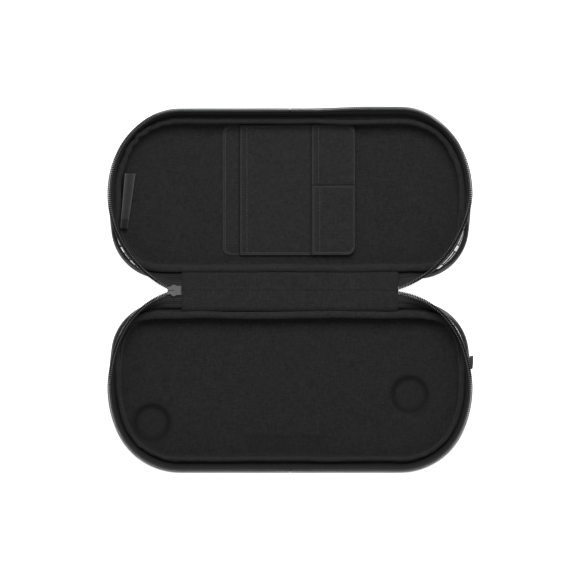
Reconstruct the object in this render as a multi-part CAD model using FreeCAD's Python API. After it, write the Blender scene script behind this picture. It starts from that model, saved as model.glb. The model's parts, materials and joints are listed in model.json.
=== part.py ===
"""Zip-round hard carrying case for a handheld games console, lying open and flat on its two halves.

Two moulded trays, base and lid, mirror each other about the hinge line. Each has a padded lining, a bound
seam round its mouth and a soft rim made of a printed gusset, a zip tape and a coil. A fabric spine joins
them along the back, and the parked slider holds the two coils together at the spine's left end.

Frame: +X to the right, +Y from base to lid, +Z up. The origin is on the table under the hinge line's middle.
Everything is in millimetres.
"""
import FreeCAD, Part
import math
import os

V = FreeCAD.Vector
UP = V(0, 0, 1)

# Plan of one tray, outside
half_length = 148.8          # middle of the tray to its round end
half_depth = 69.5            # middle of the tray to its front
back_setback = 9.5           # hinge line to the tray's back wall
front_corner_radius = 56.0
front_end_radius = 88.0
back_corner_radius = 43.0
back_end_radius = 240.0

# Moulded tray
tray_depth = 13.5
tray_wall = 5.5
tray_floor = 3.4
tray_foot_radius = 9.5       # outer edge under the tray
tray_lip_radius = 3.0        # outer edge at the mouth

# Padded lining
lining_gap = 0.3             # between the lining's sides and the tray
lining_wall = 5.0
lining_floor = 3.0
lining_foot_radius = 2.4
end_stretch = 1.8            # the inside reaches this much nearer to the round ends

# Bound seam, a bead round the mouth of the lining
bead_width = 5.2
bead_height = 4.4
bead_spine_gap = 0.8         # between the bead and the spine when the case is shut

# Soft rim: gusset, tape and coil, one above the other
rim_inset = 4.2              # tray's outline to the middle of the sewn edge
rim_seat_gap = 0.3           # between the tray's lip and the gusset's edge
gusset_height = 6.6
gusset_thickness = 1.2
tape_height = 4.4
tape_thickness = 0.8
coil_width = 2.5
coil_thickness = 2.4
coil_outset = 0.2            # the coil's middle stands this far inside the tray's outline
meeting_gap = 0.3            # between the two coils when the case is shut
back_sweep_radius = 73.0     # the coil's bend from the round end to the slider
mouth_reach = 11.7           # spine's end to where the rims hand over to the spine's tails
mouth_y = 3.4                # hinge line to the coil's middle there
droop_start = 0.42           # share of the back sweep after which the coil comes down
droop_power = 2.2

# Spine between the trays
spine_half_length = 89.0
spine_cover_thickness = 0.8
spine_lining_thickness = 1.8
spine_fold_gap = 0.3         # between the spine and the fold lines
tail_gap = 0.5               # between the rims and the tails
tail_tuck = 6.0              # how far the tape tails run in under the spine lining
tail_thickness = 0.7
closed_coil_gap = 0.05       # hinge line to each coil where they lie together
closed_coil_length = 3.2

# Slider and puller
slider_length = 11.0
slider_shoulder_width = 10.4
slider_tail_width = 7.8
slider_nose_width = 4.0
slider_plate = 1.2
slider_wall = 0.8
slider_coil_gap = 0.35
slider_spine_gap = 0.3
wedge_length = 4.0
wedge_width = 1.6
bridge_width = 1.6
bridge_bar = 1.2
bridge_inside = 2.0
bridge_length = 6.4
puller_length = 27.0
puller_width = 7.2
puller_tip_width = 5.4
puller_thickness = 1.4
puller_eye_length = 6.0
puller_arm = 1.2
puller_side_gap = 0.4
puller_floor_gap = 0.3

# Thumbstick wells and the plain pressed panel in the base lining
well_radius = 12.3
well_depth = 2.2
well_slope = 3.6
left_well = (-113.7, -29.8)      # from the middle of the tray
right_well = (98.6, -6.6)
panel_length = 68.0
panel_width = 16.0
panel_depth = 0.5
panel_corner = 1.5
panel_front_gap = 1.6            # from the lining's foot radius
panel_middle_x = -1.0

# Pocket block in the lid
block_width = 109.0
block_height = 106.5
block_middle_x = -1.2
block_front_gap = 0.6            # from the lining's foot radius
block_corner = 6.5
ply = 1.0                        # one layer of pocket cloth with its hem
cable_pocket_edge = 15.0         # block's left side to the wide pocket's mouth
card_column_width = 34.5
card_split = 57.0                # block's lower side to the lower card pocket's mouth
card_step = 1.2                  # the lower card pocket is this much narrower
pocket_room = 0.4                # slack between the wide pocket and its backing

# Sewn-in label at the lid's left end, and the pull tab at the base's right end
label_length = 45.0
label_drop_run = 7.0             # how far in from the bead it reaches
label_thickness = 0.5
label_middle_y = -5.5            # from the middle of the lid, towards the hinge
label_turn = 7.0                 # degrees
label_clear = 0.35
tab_width = 12.0
tab_thickness = 1.4
tab_back_y = 26.0                # tray's middle to the tab's back edge
tab_drop = 7.5
tab_clear = 0.3
tab_turn = 3.0                   # degrees

# Worked out from the above
middle_y = -(back_setback + half_depth)
mouth_x = spine_half_length + mouth_reach
fold_y = back_setback + rim_inset
coil_lean_rise = coil_thickness / 2 * (rim_inset - coil_outset - coil_thickness / 2) / fold_y
rim_height = fold_y - meeting_gap / 2 - coil_lean_rise
lip_z = tray_depth
seat_z = lip_z + rim_seat_gap
rim_top_z = lip_z + rim_height
coil_bottom = rim_height - coil_width
tape_bottom = coil_bottom - tape_height
lining_inset = tray_wall + lining_gap
lining_inner_inset = lining_inset + lining_wall
lining_top_z = tray_floor + lining_floor
spine_stack = spine_fold_gap + spine_cover_thickness + spine_lining_thickness
bead_outer_inset = rim_inset + spine_stack + bead_spine_gap
bead_inner_inset = bead_outer_inset + bead_width
spine_bottom_z = lip_z + spine_fold_gap
tail_bottom_z = spine_bottom_z + spine_cover_thickness
tail_mid_z = tail_bottom_z + tail_thickness / 2


def on_circle(centre, radius, degrees, z):
    angle = math.radians(degrees)
    return V(centre[0] + radius * math.cos(angle), centre[1] + radius * math.sin(angle), z)


def arc_edge(centre, radius, start, stop, z):
    """An arc from one angle to another, in degrees."""
    points = [on_circle(centre, radius, a, z) for a in (start, (start + stop) / 2, stop)]
    return Part.Arc(*points).toShape()


def end_geometry(corner_radius, end_radius):
    """The middle of a corner arc, and the angle at which it leaves the flatter end arc, on the right."""
    end_centre_x = half_length - end_radius
    rise = half_depth - corner_radius
    run = math.sqrt((end_radius - corner_radius) ** 2 - rise ** 2)
    return end_centre_x + run, rise, math.degrees(math.atan2(rise, run))


def right_arcs(inset, stretch=0.0):
    """Arcs of the right half of the plan, from the front straight round to the back straight.

    Each is (centre, radius, start angle, stop angle). Stretch moves them all towards the round end.
    """
    front_x, front_rise, front_angle = end_geometry(front_corner_radius, front_end_radius)
    back_x, back_rise, back_angle = end_geometry(back_corner_radius, back_end_radius)
    return [
        ((front_x + stretch, middle_y - front_rise), front_corner_radius - inset, -90.0, -front_angle),
        ((half_length + stretch - front_end_radius, middle_y), front_end_radius - inset, -front_angle, 0.0),
        ((half_length + stretch - back_end_radius, middle_y), back_end_radius - inset, 0.0, back_angle),
        ((back_x + stretch, middle_y + back_rise), back_corner_radius - inset, back_angle, 90.0),
    ]


def outline(inset, z, stretch=0.0):
    """Closed plan of the base tray, moved in by inset, at height z."""
    right = [arc_edge(*arc, z) for arc in right_arcs(inset, stretch)]
    left = [edge.mirror(V(0, 0, 0), V(1, 0, 0)) for edge in right]
    front = Part.makeLine(left[0].Vertexes[0].Point, right[0].Vertexes[0].Point)
    back = Part.makeLine(right[-1].Vertexes[-1].Point, left[-1].Vertexes[-1].Point)
    return Part.Wire(Part.__sortEdges__([front, *right, back, *left]))


def slab(inset, low, high, stretch=0.0):
    """A solid with the tray's plan between two heights."""
    return Part.Face(outline(inset, low, stretch)).extrude(V(0, 0, high - low))


def inner_slab(inset, low, high):
    """The same for what lies inside the tray."""
    return slab(inset, low, high, end_stretch)


def edges_at(shape, z):
    return [e for e in shape.Edges if abs(e.BoundBox.ZMin - z) < 1e-4 and abs(e.BoundBox.ZMax - z) < 1e-4]


def mirrored(shape):
    """The lid's copy of a base piece."""
    return shape.mirror(V(0, 0, 0), V(0, 1, 0))


def rounded_rectangle(x0, y0, x1, y1, corners, z, height):
    """A slab on a rectangle whose corners have radii in the order lower left, lower right, upper right,
    upper left.
    """
    block = Part.makeBox(x1 - x0, y1 - y0, height, V(x0, y0, z))
    places = [(x0, y0), (x1, y0), (x1, y1), (x0, y1)]
    for (x, y), radius in zip(places, corners):
        if radius > 0:
            upright = [
                e for e in block.Edges
                if abs(e.BoundBox.XMin - x) < 1e-4 and abs(e.BoundBox.XMax - x) < 1e-4
                and abs(e.BoundBox.YMin - y) < 1e-4 and abs(e.BoundBox.YMax - y) < 1e-4
            ]
            block = block.makeFillet(radius, upright)
    return block


def make_tray():
    """Moulded shell: a dish with a rounded foot and a rolled lip."""
    outer = slab(0, 0, tray_depth)
    outer = outer.makeFillet(tray_foot_radius, edges_at(outer, 0))
    outer = outer.makeFillet(tray_lip_radius, edges_at(outer, tray_depth))
    hollow = inner_slab(tray_wall, tray_floor, tray_depth + 1)
    hollow = hollow.makeFillet(max(tray_foot_radius - tray_wall, 1.0), edges_at(hollow, tray_floor))
    return outer.cut(hollow)


def make_lining():
    """Padded dish that lies in the tray."""
    outer = inner_slab(lining_inset, tray_floor, lip_z)
    outer_foot = max(tray_foot_radius - tray_wall, 1.0)
    outer = outer.makeFillet(outer_foot, edges_at(outer, tray_floor))
    hollow = inner_slab(lining_inner_inset, lining_top_z, lip_z + 1)
    hollow = hollow.makeFillet(lining_foot_radius, edges_at(hollow, lining_top_z))
    return outer.cut(hollow)


def well(place):
    """Dished well for a thumbstick, to be cut from the lining's floor."""
    x, y = place[0], middle_y + place[1]
    bottom = lining_top_z - well_depth
    return Part.makeCone(well_radius, well_radius + well_slope, well_depth, V(x, y, bottom))


def make_base_lining():
    """The lining with both wells and the pressed panel near its front."""
    front = middle_y - half_depth + lining_inner_inset + lining_foot_radius + panel_front_gap
    left = panel_middle_x - panel_length / 2
    panel = rounded_rectangle(
        left, front, left + panel_length, front + panel_width,
        [panel_corner] * 4, lining_top_z - panel_depth, panel_depth + 1,
    )
    return make_lining().cut(well(left_well)).cut(well(right_well)).cut(panel)


def make_bead():
    """Bound seam: a bead with a flat underside on the lining's edge."""
    ring = inner_slab(bead_outer_inset, lip_z, lip_z + bead_height)
    ring = ring.cut(inner_slab(bead_inner_inset, lip_z - 1, lip_z + bead_height + 1))
    return ring.makeFillet(bead_width * 0.42, edges_at(ring, lip_z + bead_height))


class Path:
    """A run of lines and arcs in plan, sampled by distance along it."""

    def __init__(self):
        self.pieces = []

    def line(self, start, stop):
        self.pieces.append(("line", start, stop, math.dist(start, stop)))
        return self

    def arc(self, centre, radius, start, stop):
        length = radius * math.radians(abs(stop - start))
        self.pieces.append(("arc", centre, radius, start, stop, length))
        return self

    def length(self):
        return sum(piece[-1] for piece in self.pieces)

    def at(self, share):
        """The point at a share of the whole length."""
        left = share * self.length()
        for piece in self.pieces:
            if left <= piece[-1] or piece is self.pieces[-1]:
                part = min(left / piece[-1], 1.0)
                if piece[0] == "line":
                    (x0, y0), (x1, y1) = piece[1], piece[2]
                    return x0 + part * (x1 - x0), y0 + part * (y1 - y0)
                centre, radius, start, stop = piece[1:5]
                point = on_circle(centre, radius, start + part * (stop - start), 0)
                return point.x, point.y
            left -= piece[-1]


def sewn_paths():
    """The gusset's sewn edge on the right half: straight front, front corner, front end, back sweep."""
    corner, front_end, back_end, back_corner = right_arcs(rim_inset)
    front_y = middle_y - half_depth + rim_inset
    back_y = middle_y + half_depth - rim_inset
    sweep = Path().arc(*back_end).arc(*back_corner)
    sweep.line((back_corner[0][0], back_y), (mouth_x, back_y))
    return [Path().line((0, front_y), (corner[0][0], front_y)), Path().arc(*corner), Path().arc(*front_end), sweep]


def coil_paths():
    """The coil's middle line, in the same four stretches. Its back sweep cuts the corner to the slider."""
    inset = coil_outset + coil_thickness / 2
    corner, front_end = right_arcs(inset)[:2]
    front_y = middle_y - half_depth + inset
    end_centre, end_radius = front_end[:2]
    # The sweep's middle lies on the line that keeps it tangent to the end arc and lets it reach the mouth.
    offset = end_radius - back_sweep_radius
    run = mouth_x - end_centre[0]
    rise = -mouth_y - middle_y
    reach = math.hypot(run, rise)
    spread = (reach ** 2 + offset ** 2 - back_sweep_radius ** 2) / (2 * offset * reach)
    turn = math.degrees(math.atan2(rise, run) - math.acos(max(-1.0, min(1.0, spread))))
    centre = on_circle(end_centre, offset, turn, 0)
    stop = math.degrees(math.atan2(-mouth_y - centre.y, mouth_x - centre.x))
    sweep = Path().arc(end_centre, end_radius, 0.0, turn).arc((centre.x, centre.y), back_sweep_radius, turn, stop)
    return [Path().line((0, front_y), (corner[0][0], front_y)), Path().arc(*corner), Path().arc(*front_end), sweep]


def rim_stations():
    """Pairs of points, sewn edge and coil top, from the left mouth round the front to the right mouth."""
    counts = [3, 7, 4, 13]
    right = []
    for stretch, (sewn, coil, count) in enumerate(zip(sewn_paths(), coil_paths(), counts)):
        first = 0 if stretch == 0 else 1
        for i in range(first, count + 1):
            share = i / count
            droop = 0.0
            if stretch == 3 and share > droop_start:
                droop = ((share - droop_start) / (1 - droop_start)) ** droop_power
            # Where the band lies down, its sewn edge is lifted clear of the lip and its coil meets the tail's.
            low = V(*sewn.at(share), seat_z + gusset_thickness / 2 * droop)
            high = V(*coil.at(share), rim_top_z + (tail_mid_z - rim_top_z) * droop)
            right.append((low, high))
    left = [(V(-a.x, a.y, a.z), V(-b.x, b.y, b.z)) for a, b in right[:0:-1]]
    return left + right


def ribbon(bottom, top, thickness):
    """A band of the rim between two heights above the sewn edge."""
    stations = rim_stations()
    rails = [[], [], [], []]
    full = rim_height - rim_seat_gap
    for i, (low, high) in enumerate(stations):
        before, after = stations[max(i - 1, 0)], stations[min(i + 1, len(stations) - 1)]
        along = (after[0] + after[1]) - (before[0] + before[1])
        side = along.cross(high - low).normalize() * (thickness / 2)
        for share, pair in ((bottom / full, (0, 1)), (top / full, (3, 2))):
            point = low + (high - low) * share
            rails[pair[0]].append(point - side)
            rails[pair[1]].append(point + side)
    curves = []
    for points in rails:
        curve = Part.BSplineCurve()
        curve.interpolate(points)
        curves.append(curve.toShape())
    faces = [Part.makeRuledSurface(curves[k], curves[(k + 1) % 4]) for k in range(4)]
    for end in (0, -1):
        faces.append(Part.Face(Part.makePolygon([rails[k][end] for k in (0, 1, 2, 3, 0)])))
    shell = Part.makeShell([f for face in faces for f in face.Faces])
    shell.sewShape()
    solid = Part.Solid(shell)
    if solid.Volume < 0:
        solid.reverse()
    return solid


def make_gusset():
    return ribbon(0, tape_bottom - rim_seat_gap, gusset_thickness)


def make_tape():
    return ribbon(tape_bottom - rim_seat_gap, coil_bottom - rim_seat_gap, tape_thickness)


def make_coil():
    return ribbon(coil_bottom - rim_seat_gap, rim_height - rim_seat_gap, coil_thickness)


def make_spine_cover():
    """Outer cloth of the spine, from fold line to fold line."""
    reach = fold_y - spine_fold_gap
    return Part.makeBox(
        2 * spine_half_length, 2 * reach, spine_cover_thickness,
        V(-spine_half_length, -reach, spine_bottom_z),
    )


def make_spine_lining():
    """Padded inner cloth of the spine, hollowed at both ends for the tape tails."""
    reach = fold_y - spine_fold_gap
    pad = rounded_rectangle(
        -spine_half_length, -reach, spine_half_length, reach, [0.6] * 4, tail_bottom_z, spine_lining_thickness
    )
    for x in (-spine_half_length - 1, spine_half_length - tail_tuck):
        pad = pad.cut(Part.makeBox(tail_tuck + 1, 2 * reach + 2, tail_thickness, V(x, -reach - 1, tail_bottom_z)))
    return pad


def tail_plan():
    """The coil's outer line on the base side of the left tail, from the mouth to the spine."""
    inner = closed_coil_gap + coil_width
    closed_x = -(spine_half_length + slider_spine_gap + closed_coil_length)
    mouth = -(mouth_x - tail_gap)
    return [(mouth, -(mouth_y + coil_width)), (closed_x, -inner), (-spine_half_length, -inner)]


def prism(points, low, high):
    wire = Part.makePolygon([V(x, y, low) for x, y in [*points, points[0]]])
    return Part.Face(wire).extrude(V(0, 0, high - low))


def make_tail():
    """Left end of the base's rim past the mouth: gusset and tape in one flat strip, tucked into the spine."""
    reach = fold_y - spine_fold_gap
    line = tail_plan()
    tucked = -(spine_half_length - tail_tuck)
    inner = line[-1][1]
    points = [*line, (tucked, inner), (tucked, -reach), (line[0][0], -reach)]
    return prism(points, tail_bottom_z, tail_bottom_z + tail_thickness)


def make_tail_coil():
    """Left end of the base's coil, from the mouth to where it lies against the lid's."""
    line = tail_plan()
    inner = [(x, y + coil_width) for x, y in line]
    low = tail_mid_z - coil_thickness / 2
    return prism([*line, *inner[::-1]], low, low + coil_thickness)


def slider_outline(grow, z):
    """Spade-shaped plan of a slider plate, nose to the left."""
    tail = -(spine_half_length + slider_spine_gap)
    nose = tail - slider_length
    shoulder = nose + slider_length * 0.45
    neck = nose + slider_length * 0.68
    upper = [
        (nose, slider_nose_width / 2), (shoulder, slider_shoulder_width / 2),
        (neck, slider_tail_width / 2), (tail, slider_tail_width / 2),
    ]
    upper = [(x, y + grow) for x, y in upper]
    points = upper + [(x, -y) for x, y in upper[::-1]]
    return [V(x, y, z) for x, y in [*points, points[0]]]


def slider_plate_solid(low, high):
    plate = Part.Face(Part.makePolygon(slider_outline(0, low))).extrude(V(0, 0, high - low))
    upright = [e for e in plate.Edges if e.BoundBox.ZLength > (high - low) * 0.9]
    shoulders = [e for e in upright if abs(abs(e.BoundBox.YMin) - slider_shoulder_width / 2) < 0.01]
    plate = plate.makeFillet(1.6, shoulders)
    nose_x = -(spine_half_length + slider_spine_gap + slider_length)
    upright = [e for e in plate.Edges if e.BoundBox.ZLength > (high - low) * 0.9]
    return plate.makeFillet(1.0, [e for e in upright if e.BoundBox.XMax < nose_x + 0.01])


def make_slider():
    """Two plates on a wedge, with guide walls round the coils and a bridge under the outer plate."""
    half_room = coil_thickness / 2 + slider_coil_gap
    inner_low = tail_mid_z + half_room
    outer_high = tail_mid_z - half_room
    inner_plate = slider_plate_solid(inner_low, inner_low + slider_plate)
    inner_plate = inner_plate.makeChamfer(0.35, edges_at(inner_plate, inner_low + slider_plate))
    outer_plate = slider_plate_solid(outer_high - slider_plate, outer_high)
    tail = -(spine_half_length + slider_spine_gap)
    nose = tail - slider_length
    wedge = prism(
        [(nose + 0.5, -wedge_width / 2), (nose + wedge_length, -wedge_width / 4),
         (nose + wedge_length, wedge_width / 4), (nose + 0.5, wedge_width / 2)],
        outer_high, inner_low,
    )
    body = inner_plate.fuse([outer_plate, wedge])
    # Guide walls stand on each plate beside the coils and leave a slot for the tape.
    wall_length = slider_length * 0.36
    slot_half = tail_thickness / 2 + 0.25
    for side in (-1, 1):
        y = side * slider_tail_width / 2 - (slider_wall if side > 0 else 0)
        for low, high in ((outer_high, tail_mid_z - slot_half), (tail_mid_z + slot_half, inner_low)):
            body = body.fuse(Part.makeBox(wall_length, slider_wall, high - low, V(tail - wall_length, y, low)))
    return body.fuse(make_bridge(outer_high - slider_plate)).removeSplitter()


def bridge_middle_x():
    return -(spine_half_length + slider_spine_gap + slider_length * 0.5)


def make_bridge(top):
    """Low arch under the outer plate that holds the puller's bar."""
    x = bridge_middle_x() - bridge_length / 2
    height = bridge_inside + bridge_bar
    arch = Part.makeBox(bridge_length, bridge_width, height, V(x, -bridge_width / 2, top - height))
    foot = [
        e for e in arch.Edges
        if abs(e.BoundBox.ZMax - (top - height)) < 1e-4 and e.BoundBox.YLength > bridge_width * 0.9
    ]
    arch = arch.makeFillet(1.0, foot)
    window = Part.makeBox(
        bridge_length - 2 * bridge_bar, bridge_width + 2, bridge_inside, V(x + bridge_bar, -bridge_width / 2 - 1, top - bridge_inside)
    )
    return arch.cut(window)


def puller_pivot():
    """Middle of the puller's bar inside the bridge."""
    top = tail_mid_z - coil_thickness / 2 - slider_coil_gap - slider_plate
    return V(bridge_middle_x(), 0, top - bridge_inside / 2)


def make_puller():
    """Flat pull with an eye round the bridge, hanging down to the table under the spine."""
    half_gap = bridge_width / 2 + puller_side_gap
    outer = half_gap + puller_arm
    bar = Part.makeCylinder(puller_thickness / 2, 2 * outer, V(0, -outer, 0), V(0, 1, 0))
    low = -puller_thickness / 2
    arms = [
        Part.makeBox(puller_eye_length, puller_arm, puller_thickness, V(0, y, low)) for y in (half_gap, -outer)
    ]
    tab = prism(
        [(puller_eye_length - 1, -puller_width / 2), (puller_length, -puller_tip_width / 2),
         (puller_length, puller_tip_width / 2), (puller_eye_length - 1, puller_width / 2)],
        low, -low,
    )
    tab = tab.makeFillet(1.4, [e for e in tab.Edges if e.BoundBox.ZLength > puller_thickness * 0.9])
    pull = bar.fuse([*arms, tab]).removeSplitter()
    pivot = puller_pivot()
    drop = (pivot.z - puller_thickness / 2 - puller_floor_gap) / puller_length
    pull.rotate(V(0, 0, 0), V(0, 1, 0), math.degrees(math.asin(drop)))
    pull.translate(pivot)
    return pull


def block_corner_place():
    """Lower left corner of the pocket block in the lid."""
    front = -middle_y + half_depth - lining_inner_inset - lining_foot_radius - block_front_gap
    return block_middle_x - block_width / 2, front - block_height


def make_backing():
    x, y = block_corner_place()
    return rounded_rectangle(x, y, x + block_width, y + block_height, [block_corner] * 4, lining_top_z, ply)


def make_cable_pocket():
    """Wide pocket that opens to the left, with its hem turned under."""
    x, y = block_corner_place()
    low = lining_top_z + ply
    left = x + cable_pocket_edge
    cloth = rounded_rectangle(
        left, y, x + block_width, y + block_height, [0, block_corner, block_corner, 0], low, ply + pocket_room
    )
    seam = 3.0
    room = Part.makeBox(
        block_width - cable_pocket_edge - seam - card_column_width, block_height - 2 * seam, pocket_room,
        V(left - 1, y + seam, low),
    )
    return cloth.cut(room)


def make_upper_card_pocket():
    x, y = block_corner_place()
    low = lining_top_z + 2 * ply + pocket_room
    right = x + block_width
    return rounded_rectangle(
        right - card_column_width, y, right, y + block_height, [0, block_corner, block_corner, 0], low, ply
    )


def make_lower_card_pocket():
    x, y = block_corner_place()
    low = lining_top_z + 3 * ply + pocket_room
    right = x + block_width
    return rounded_rectangle(
        right - card_column_width + card_step, y, right, y + card_split, [0, block_corner, 0, 0], low, ply
    )


def make_label():
    """Folded woven label, sewn in under the bead and leaning down to the lid's floor."""
    middle = -middle_y + label_middle_y
    end_x = half_length + end_stretch - lining_inner_inset - label_clear
    top = lip_z - label_clear
    foot = lining_top_z + label_thickness + label_clear
    outer = [(0, top), (label_drop_run, foot), (label_drop_run, foot - label_thickness), (0, top - label_thickness)]
    wire = Part.makePolygon([V(x, -label_length / 2, z) for x, z in [*outer, outer[0]]])
    strip = Part.Face(wire).extrude(V(0, label_length, 0))
    strip.rotate(V(0, 0, 0), UP, -label_turn)
    # The lower end leans towards the wall, which curves away from the end there.
    lean = label_length / 2 * math.sin(math.radians(label_turn))
    reach = label_length / 2 - label_middle_y
    sag = reach ** 2 / (2 * (back_end_radius - lining_inner_inset))
    strip.translate(V(-end_x + lean + sag, middle, 0))
    return strip


def make_side_tab():
    """Short ribbon loop sewn in at the base's right end and folded down over the lip."""
    front_y = middle_y + tab_back_y - tab_width
    bulge = (tab_back_y - tab_width) ** 2 / (2 * back_end_radius)
    wall_x = half_length - bulge + tab_clear
    inner_x = wall_x - tray_lip_radius
    over = lip_z + tab_clear
    low = over - tab_drop
    outer_x = wall_x + tab_thickness
    profile = [
        (inner_x, over), (wall_x, over), (wall_x, low), (outer_x, low), (outer_x, over + tab_thickness / 2),
        (wall_x + tab_thickness / 2, over + tab_thickness), (inner_x, over + tab_thickness),
    ]
    wire = Part.makePolygon([V(x, front_y, z) for x, z in [*profile, profile[0]]])
    tab = Part.Face(wire).extrude(V(0, tab_width, 0))
    tab.rotate(V(wall_x, front_y, 0), UP, -tab_turn)
    return tab


def mirrored_left(shape):
    """The right-hand copy of a left-hand piece."""
    return shape.mirror(V(0, 0, 0), V(1, 0, 0))


def build():
    tray, bead = make_tray(), make_bead()
    gusset, tape, coil = make_gusset(), make_tape(), make_coil()
    tail, tail_coil = make_tail(), make_tail_coil()
    nodes = {
        "base_shell": tray,
        "base_lining": make_base_lining(),
        "base_seam_binding": bead,
        "base_gusset": gusset,
        "base_zip_tape": tape,
        "base_zip_coil": coil,
        "side_pull_tab": make_side_tab(),
        "lid_shell": mirrored(tray),
        "lid_lining": mirrored(make_lining()),
        "lid_seam_binding": mirrored(bead),
        "lid_gusset": mirrored(gusset),
        "lid_zip_tape": mirrored(tape),
        "lid_zip_coil": mirrored(coil),
        "pocket_backing": make_backing(),
        "cable_pocket": make_cable_pocket(),
        "upper_card_pocket": make_upper_card_pocket(),
        "lower_card_pocket": make_lower_card_pocket(),
        "sewn_label": make_label(),
        "spine_cover": make_spine_cover(),
        "spine_lining": make_spine_lining(),
        "base_tape_tail_left": tail,
        "lid_tape_tail_left": mirrored(tail),
        "base_tape_tail_right": mirrored_left(tail),
        "lid_tape_tail_right": mirrored_left(mirrored(tail)),
        "base_coil_tail_left": tail_coil,
        "lid_coil_tail_left": mirrored(tail_coil),
        "base_coil_tail_right": mirrored_left(tail_coil),
        "lid_coil_tail_right": mirrored_left(mirrored(tail_coil)),
        "zip_slider": make_slider(),
        "zip_puller": make_puller(),
    }
    return nodes


def main():
    os.makedirs("parts", exist_ok=True)
    for name, shape in build().items():
        shape.exportStep(f"parts/{name}.step")
        print(name, shape.ShapeType, len(shape.Solids), shape.isValid(), round(shape.Volume, 1))


main()
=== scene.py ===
import json
import math
import bmesh
import bpy
import numpy as np
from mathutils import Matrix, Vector, noise

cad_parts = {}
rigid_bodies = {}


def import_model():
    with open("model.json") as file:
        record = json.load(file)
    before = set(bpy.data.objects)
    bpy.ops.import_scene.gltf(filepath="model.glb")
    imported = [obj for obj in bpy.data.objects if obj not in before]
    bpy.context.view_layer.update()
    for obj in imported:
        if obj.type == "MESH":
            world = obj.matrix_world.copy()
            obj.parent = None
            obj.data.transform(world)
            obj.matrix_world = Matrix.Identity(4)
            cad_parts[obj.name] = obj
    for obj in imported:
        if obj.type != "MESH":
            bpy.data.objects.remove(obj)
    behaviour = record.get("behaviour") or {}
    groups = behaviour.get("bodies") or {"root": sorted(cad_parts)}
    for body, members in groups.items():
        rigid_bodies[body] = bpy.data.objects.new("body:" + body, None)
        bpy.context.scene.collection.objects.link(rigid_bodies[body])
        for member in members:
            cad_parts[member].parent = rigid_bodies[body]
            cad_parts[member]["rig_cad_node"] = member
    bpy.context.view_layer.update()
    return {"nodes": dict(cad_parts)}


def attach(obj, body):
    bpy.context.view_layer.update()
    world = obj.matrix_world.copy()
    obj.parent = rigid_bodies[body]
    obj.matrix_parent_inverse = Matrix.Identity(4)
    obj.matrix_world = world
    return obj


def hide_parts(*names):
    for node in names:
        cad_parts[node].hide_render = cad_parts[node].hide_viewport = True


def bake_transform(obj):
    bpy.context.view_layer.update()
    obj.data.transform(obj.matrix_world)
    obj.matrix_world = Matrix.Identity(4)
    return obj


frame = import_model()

mm = 0.001
nodes = frame["nodes"]
print("frame loaded", len(nodes), "nodes")


# small tools

def leaveEdit():
    bpy.ops.object.mode_set(mode="OBJECT")


def deselect():
    if bpy.context.mode != "OBJECT":
        leaveEdit()
    bpy.ops.object.select_all(action="DESELECT")


def take(obj):
    deselect()
    obj.select_set(True)
    bpy.context.view_layer.objects.active = obj
    return obj


def added(name):
    obj = bpy.context.active_object
    obj.name = name
    obj.data.name = name
    return obj


def settle(obj):  # its place goes into its mesh
    take(obj)
    bpy.ops.object.transform_apply(location=True, rotation=True, scale=True)
    return obj


def modify(obj, kind, **settings):
    take(obj)
    modifier = obj.modifiers.new(kind, kind)
    for key, value in settings.items():
        setattr(modifier, key, value)
    bpy.ops.object.modifier_apply(modifier=modifier.name)
    return obj


def smooth(obj, degrees=50):
    take(obj)
    bpy.ops.object.shade_smooth_by_angle(angle=math.radians(degrees))
    return obj


def editAll(obj):
    take(obj)
    bpy.ops.object.mode_set(mode="EDIT")
    bpy.ops.mesh.select_all(action="SELECT")


def outwards(obj):
    editAll(obj)
    bpy.ops.mesh.normals_make_consistent(inside=False)
    leaveEdit()


def bevel(obj, width, segments, degrees):
    modify(obj, "BEVEL", width=width, segments=segments, limit_method="ANGLE",
           angle_limit=math.radians(degrees))


def repeat(obj, count, pitch):
    return modify(obj, "ARRAY", count=count, use_relative_offset=False,
                  use_constant_offset=True, constant_offset_displace=(pitch, 0, 0))


def joined(name, objs):
    take(objs[0])
    for obj in objs[1:]:
        obj.select_set(True)
    bpy.ops.object.join()
    return added(name)


def flatGrid(name, cells, place, size):
    deselect()
    bpy.ops.mesh.primitive_grid_add(
        x_subdivisions=cells[0], y_subdivisions=cells[1], size=1, location=place,
    )
    obj = added(name)
    obj.scale = (size[0], size[1], 1)
    return settle(obj)


def roundedBlock(name, place, size, radius, segments):
    deselect()
    bpy.ops.mesh.primitive_cube_add(size=1, location=place)
    obj = added(name)
    obj.scale = size
    settle(obj)
    editAll(obj)
    bpy.ops.mesh.bevel(offset=radius, segments=segments, affect="EDGES")
    leaveEdit()
    return obj


def readPoints(obj):
    flat = np.empty(len(obj.data.vertices) * 3)
    obj.data.vertices.foreach_get("co", flat)
    return flat.reshape(-1, 3)


def writePoints(obj, points):
    obj.data.vertices.foreach_set("co", np.asarray(points, float).ravel())
    obj.data.update()


def markPoints(obj, name, values):
    mark = obj.data.attributes.new(name, "FLOAT", "POINT")
    mark.data.foreach_set("value", values.astype(np.float32))


def waves(points, size, seed):  # soft lumps, about one every size
    offset = Vector((seed * 17.3, seed * 9.1, seed * 4.7))
    return np.array([noise.noise(Vector(p) / size + offset) for p in points])


def ease(values):
    t = np.clip(values, 0.0, 1.0)
    return t * t * (3 - 2 * t)


# shader maths

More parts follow.
